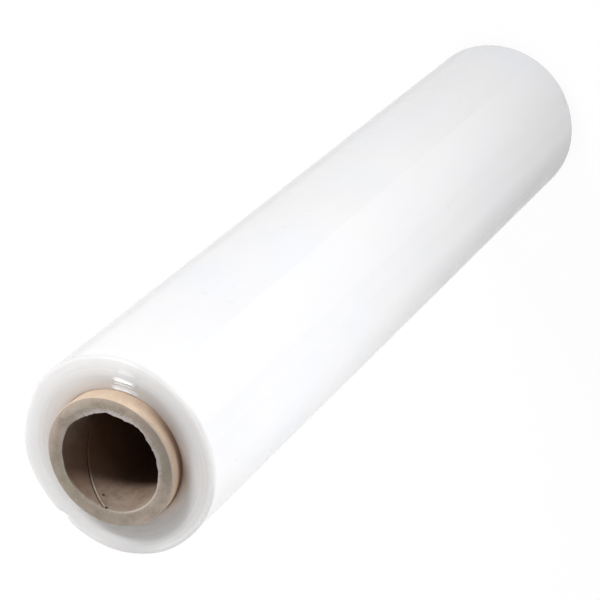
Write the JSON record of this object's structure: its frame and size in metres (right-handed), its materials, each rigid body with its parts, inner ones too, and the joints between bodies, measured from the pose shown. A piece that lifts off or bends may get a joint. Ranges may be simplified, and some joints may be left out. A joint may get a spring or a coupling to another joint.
{
  "type": "stretch wrap roll",
  "caption": "Hand roll of clear stretch film wound on a cardboard core that stands out at both ends, for wrapping pallets and parcels.",
  "frame": {"origin": "centre of the bottom end of the cardboard core, on the roll's axis, where the roll stands on its end", "axes": "+Z along the roll's axis and up; +X and +Y across it, with the free end of the film 108 degrees clockwise from +X seen from above"},
  "size_m": [0.1028, 0.1028, 0.514],
  "materials": {
    "core_cardboard": "matte",
    "stretch_film": "gloss"
  },
  "bodies": {
    "root": {"core_tube": "core_cardboard", "film_roll": "stretch_film"}
  },
  "joints": []
}
